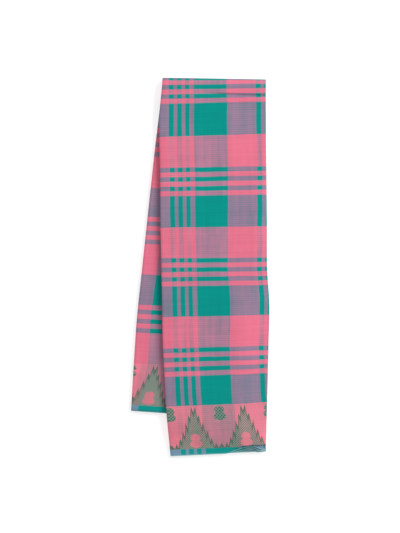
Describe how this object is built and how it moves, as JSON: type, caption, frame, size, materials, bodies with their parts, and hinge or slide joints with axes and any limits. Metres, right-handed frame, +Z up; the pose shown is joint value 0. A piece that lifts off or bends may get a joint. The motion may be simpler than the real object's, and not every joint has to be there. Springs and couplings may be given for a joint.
{
  "type": "folded cotton sari",
  "caption": "Checked cotton sari in pink and green, folded into a strip and once over its middle, lying flat with its woven borders at the near end.",
  "frame": {"origin": "on the ground under the middle of the bounding box", "axes": "+Y towards the top fold, +X to the right seen from above, +Z up through the layers"},
  "size_m": [0.2224, 0.6058, 0.0212],
  "materials": {
    "checked_cotton": "matte plain weave, pink and green checks",
    "layer_edges": "matte edges of the folded cloth"
  },
  "bodies": {
    "root": {"front_leaf_cloth": "checked_cotton", "top_fold_cloth": "checked_cotton", "back_leaf_cloth": "checked_cotton", "hidden_layers": "layer_edges"}
  },
  "joints": []
}
